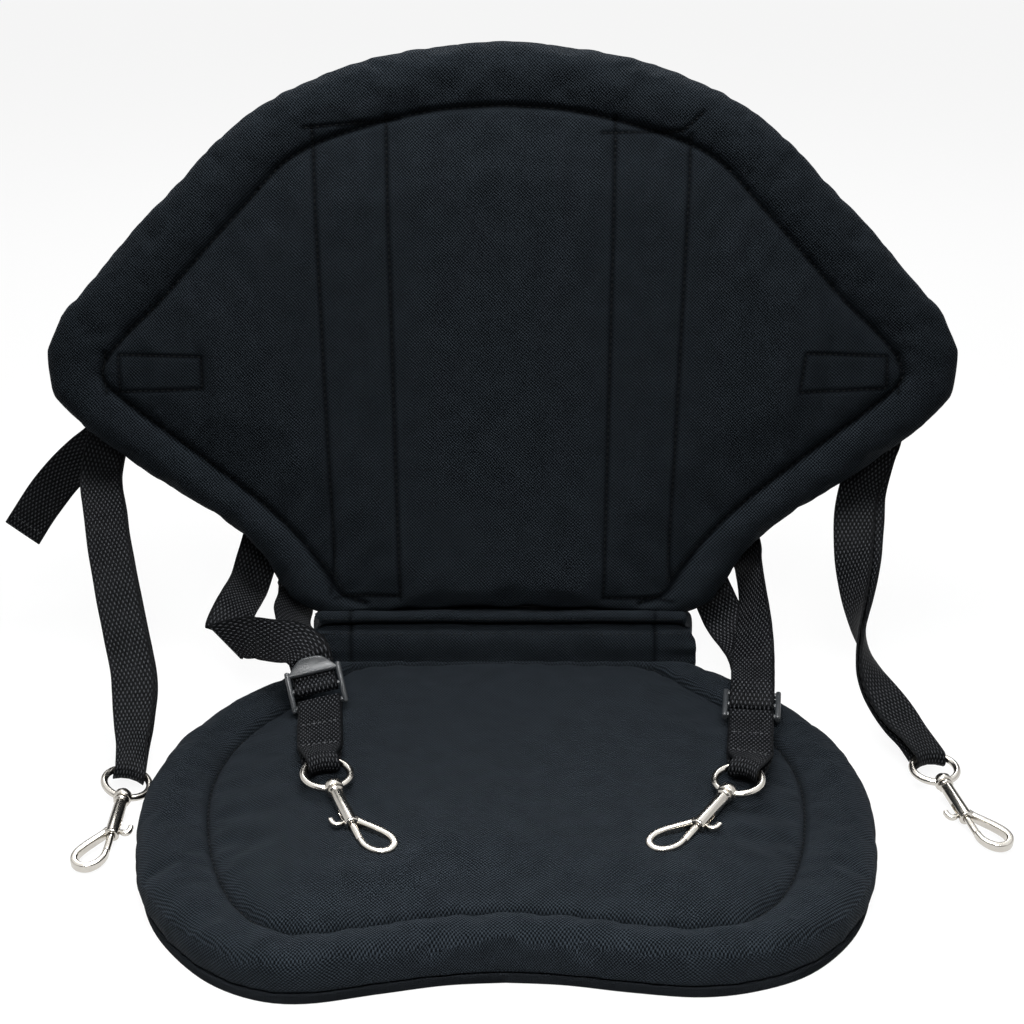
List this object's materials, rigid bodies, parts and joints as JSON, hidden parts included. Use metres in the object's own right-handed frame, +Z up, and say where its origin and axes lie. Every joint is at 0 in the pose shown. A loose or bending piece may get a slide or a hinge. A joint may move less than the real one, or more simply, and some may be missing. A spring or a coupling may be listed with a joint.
{
  "type": "kayak seat",
  "caption": "Padded kayak seat with a winged backrest, a folding neck and four webbing straps that end in swivel bolt snaps.",
  "frame": {"origin": "middle of the seat's flat underside", "axes": "+Z up off the floor, +Y from the seat's front towards the backrest, +X to the right as seen from the front"},
  "size_m": [0.5837, 0.429, 0.3767],
  "materials": {
    "black_cloth": "woven, matt",
    "base_cloth": "woven, matt",
    "black_webbing": "coarse weave",
    "black_acetal": "satin",
    "batten_plastic": "satin",
    "nickel_plate": "polished plate",
    "spring_wire": "drawn wire"
  },
  "bodies": {
    "seat": {"seat_base": "base_cloth", "seat_pad": "black_cloth", "backrest_rear_panel": "base_cloth", "backrest_pad": "black_cloth", "neck_fold": "black_cloth", "batten_left": "batten_plastic", "batten_pocket_left": "black_cloth", "wing_anchor_left": "black_webbing", "upper_buckle_left": "black_acetal", "upper_strap_left": "black_webbing", "lower_buckle_left": "black_acetal", "lower_strap_left": "black_webbing", "lower_link_left": "black_webbing", "batten_right": "batten_plastic", "batten_pocket_right": "black_cloth", "wing_anchor_right": "black_webbing", "upper_buckle_right": "black_acetal", "upper_strap_right": "black_webbing", "lower_buckle_right": "black_acetal", "lower_strap_right": "black_webbing", "lower_link_right": "black_webbing", "snap_eye_upper_left": "nickel_plate", "snap_eye_upper_right": "nickel_plate", "snap_eye_lower_left": "nickel_plate", "snap_eye_lower_right": "nickel_plate"},
    "hook_upper_left": {"snap_body_upper_left": "nickel_plate", "snap_spring_upper_left": "spring_wire"},
    "bolt_upper_left": {"snap_bolt_upper_left": "nickel_plate"},
    "hook_upper_right": {"snap_body_upper_right": "nickel_plate", "snap_spring_upper_right": "spring_wire"},
    "bolt_upper_right": {"snap_bolt_upper_right": "nickel_plate"},
    "hook_lower_left": {"snap_body_lower_left": "nickel_plate", "snap_spring_lower_left": "spring_wire"},
    "bolt_lower_left": {"snap_bolt_lower_left": "nickel_plate"},
    "hook_lower_right": {"snap_body_lower_right": "nickel_plate", "snap_spring_lower_right": "spring_wire"},
    "bolt_lower_right": {"snap_bolt_lower_right": "nickel_plate"}
  },
  "joints": [
    {"name": "swivel_upper_left", "type": "hinge", "parent": "seat", "child": "hook_upper_left", "pos_m": [-0.2085, 0.015, 0.012], "axis": [-0.0471, -0.9891, -0.1392], "range_deg": [-125, 125]},
    {"name": "bolt_slide_upper_left", "type": "slide", "parent": "hook_upper_left", "child": "bolt_upper_left", "axis": [0.0471, 0.9891, 0.1392], "range_m": [0, 0.008], "stiffness_N_per_m": 400, "springref_m": -0.005, "deforming": ["snap_spring_upper_left"]},
    {"name": "swivel_upper_right", "type": "hinge", "parent": "seat", "child": "hook_upper_right", "pos_m": [0.2455, 0.0313, 0.012], "axis": [0.2389, -0.9618, -0.1339], "continuous": true},
    {"name": "bolt_slide_upper_right", "type": "slide", "parent": "hook_upper_right", "child": "bolt_upper_right", "axis": [-0.2389, 0.9618, 0.1339], "range_m": [0, 0.008], "stiffness_N_per_m": 400, "springref_m": -0.005, "deforming": ["snap_spring_upper_right"]},
    {"name": "swivel_lower_left", "type": "hinge", "parent": "seat", "child": "hook_lower_left", "pos_m": [-0.0883, -0.029, 0.044], "axis": [0.3582, -0.925, -0.1264], "range_deg": [0, 28]},
    {"name": "bolt_slide_lower_left", "type": "slide", "parent": "hook_lower_left", "child": "bolt_lower_left", "axis": [-0.3582, 0.925, 0.1264], "range_m": [0, 0.008], "stiffness_N_per_m": 400, "springref_m": -0.005, "deforming": ["snap_spring_lower_left"]},
    {"name": "swivel_lower_right", "type": "hinge", "parent": "seat", "child": "hook_lower_right", "pos_m": [0.1184, -0.034, 0.044], "axis": [0.5452, 0.8285, 0.1278], "range_deg": [0, 28]},
    {"name": "bolt_slide_lower_right", "type": "slide", "parent": "hook_lower_right", "child": "bolt_lower_right", "axis": [0.5452, 0.8285, 0.1278], "range_m": [0, 0.008], "stiffness_N_per_m": 400, "springref_m": -0.005, "deforming": ["snap_spring_lower_right"]}
  ]
}
